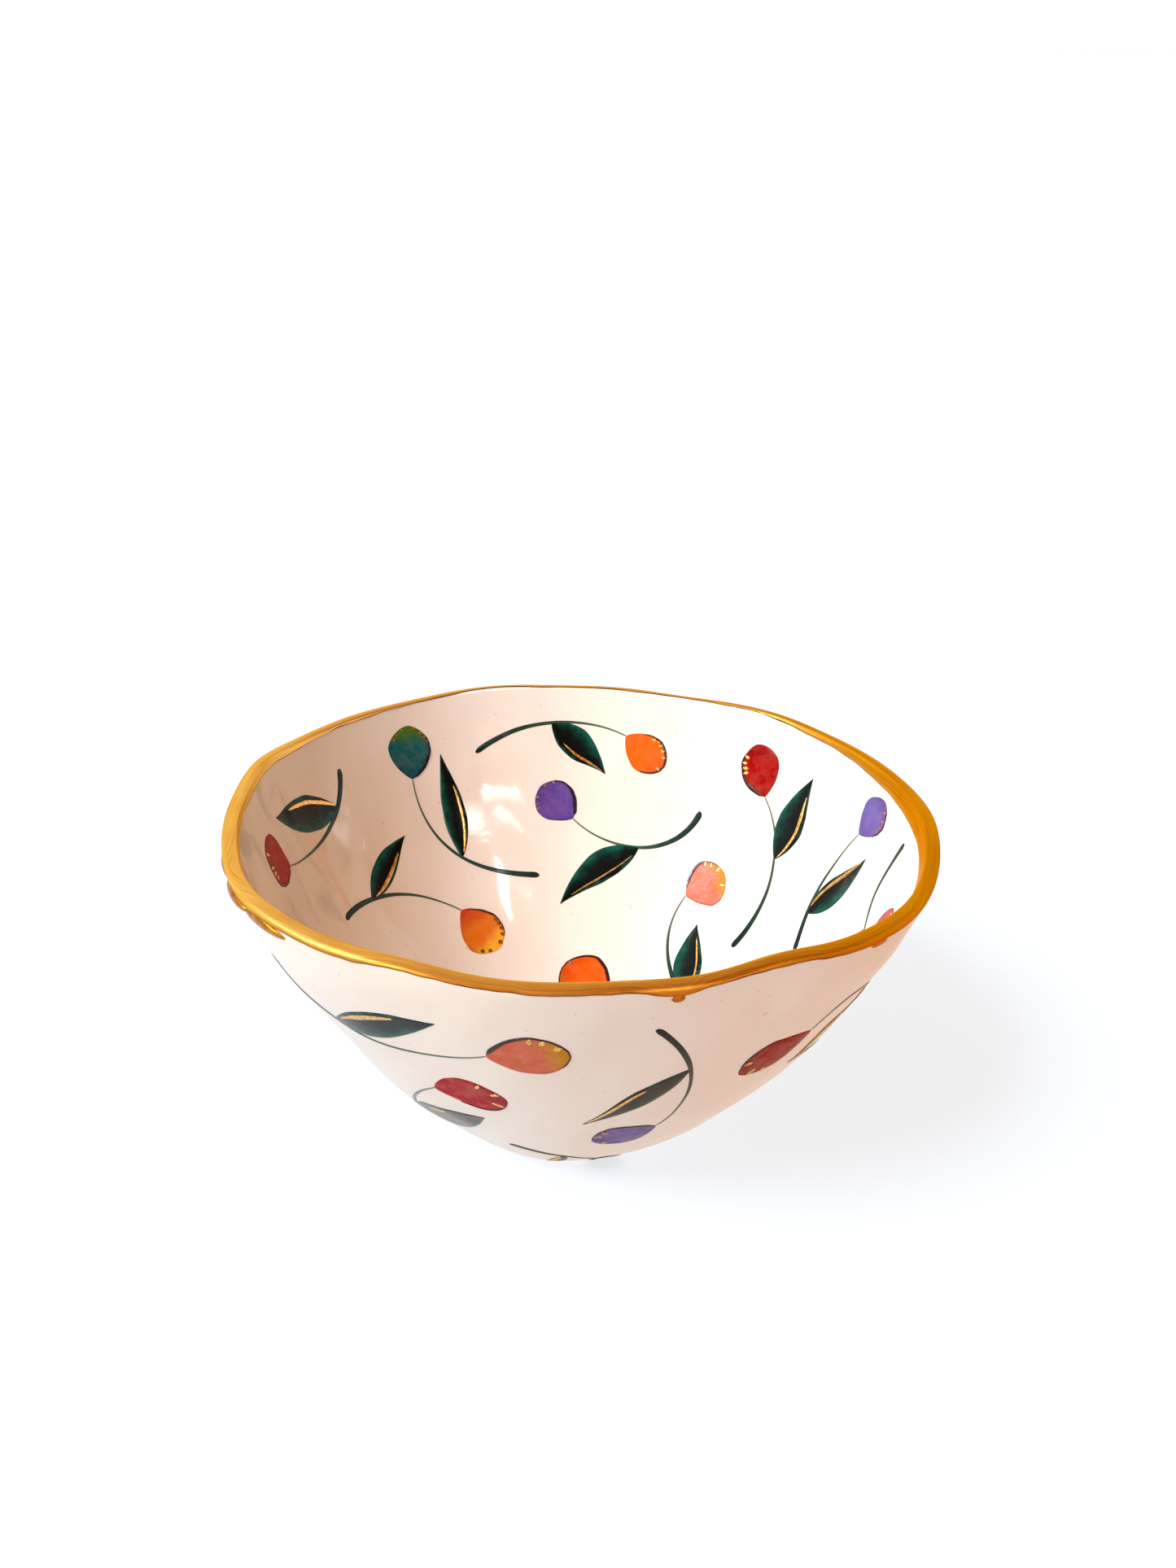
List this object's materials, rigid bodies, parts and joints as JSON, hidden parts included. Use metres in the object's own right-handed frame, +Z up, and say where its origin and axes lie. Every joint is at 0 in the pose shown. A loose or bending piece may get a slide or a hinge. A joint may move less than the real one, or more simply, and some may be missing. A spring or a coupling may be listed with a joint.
{
  "type": "painted bowl",
  "caption": "Round hand-shaped porcelain bowl with a gilded lip, painted inside and out with tulip sprigs, for serving or display.",
  "frame": {"origin": "middle of the bare foot, on the surface that the bowl stands on", "axes": "+Z up out of the bowl; -Y towards the best painted side; the bowl is nearly round, so +X is only to that side's right"},
  "size_m": [0.1426, 0.1419, 0.0653],
  "materials": {
    "glazed_porcelain": "clear glossy glaze over white porcelain, slightly uneven where the wall was pinched",
    "bare_porcelain": "unglazed, fine matte ground disc",
    "gold_lustre": "hand-brushed fired gold, satin with streaks and burnt edges",
    "night_enamel": "near-black overglaze enamel, glossy, brushed thin",
    "green_enamel": "dark green overglaze enamel, glossy, watery at the edges",
    "amber_enamel": "amber overglaze enamel, glossy, watery brush strokes",
    "coral_enamel": "coral overglaze enamel, glossy, watery brush strokes",
    "crimson_enamel": "crimson overglaze enamel, glossy, watery brush strokes",
    "lilac_enamel": "lilac overglaze enamel, glossy, watery brush strokes",
    "orange_enamel": "orange overglaze enamel, glossy, watery brush strokes",
    "peach_enamel": "peach overglaze enamel, glossy, watery brush strokes",
    "red_enamel": "red overglaze enamel, glossy, watery brush strokes",
    "rose_enamel": "rose overglaze enamel, glossy, watery brush strokes",
    "scarlet_enamel": "scarlet overglaze enamel, glossy, watery brush strokes",
    "teal_enamel": "teal overglaze enamel, glossy, watery brush strokes",
    "violet_enamel": "violet overglaze enamel, glossy, watery brush strokes"
  },
  "bodies": {
    "root": {"porcelain_body": "glazed_porcelain", "foot_pad": "bare_porcelain", "gold_rim": "gold_lustre", "gold_drops": "gold_lustre", "inner_dark_lines": "night_enamel", "outer_dark_lines": "night_enamel", "inner_gold_lines": "gold_lustre", "outer_gold_lines": "gold_lustre", "inner_teal_head": "teal_enamel", "inner_orange_head": "orange_enamel", "inner_violet_head": "violet_enamel", "inner_red_head": "red_enamel", "inner_lilac_head": "lilac_enamel", "inner_peach_head": "peach_enamel", "inner_coral_head": "coral_enamel", "inner_scarlet_head": "scarlet_enamel", "inner_amber_head": "amber_enamel", "inner_rose_head": "rose_enamel", "front_coral_head": "coral_enamel", "front_red_head": "red_enamel", "front_teal_head": "teal_enamel", "front_violet_head": "violet_enamel", "front_amber_head": "amber_enamel", "outer_peach_head": "peach_enamel", "outer_crimson_head": "crimson_enamel", "outer_lilac_head": "lilac_enamel", "outer_red_head": "red_enamel", "outer_orange_head": "orange_enamel", "outer_teal_head": "teal_enamel", "back_amber_head": "amber_enamel", "back_teal_head": "teal_enamel", "back_red_head": "red_enamel", "back_violet_head": "violet_enamel", "back_rose_head": "rose_enamel", "inner_teal_greenery": "green_enamel", "inner_orange_greenery": "green_enamel", "inner_violet_greenery": "green_enamel", "inner_red_greenery": "green_enamel", "inner_lilac_greenery": "green_enamel", "inner_peach_greenery": "green_enamel", "inner_coral_greenery": "green_enamel", "inner_scarlet_greenery": "green_enamel", "inner_amber_greenery": "green_enamel", "inner_rose_greenery": "green_enamel", "front_coral_greenery": "green_enamel", "front_red_greenery": "green_enamel", "front_teal_greenery": "green_enamel", "front_violet_greenery": "green_enamel", "front_amber_greenery": "green_enamel", "outer_peach_greenery": "green_enamel", "outer_crimson_greenery": "green_enamel", "outer_lilac_greenery": "green_enamel", "outer_red_greenery": "green_enamel", "outer_orange_greenery": "green_enamel", "outer_teal_greenery": "green_enamel", "back_amber_greenery": "green_enamel", "back_teal_greenery": "green_enamel", "back_red_greenery": "green_enamel", "back_violet_greenery": "green_enamel", "back_rose_greenery": "green_enamel"}
  },
  "joints": []
}
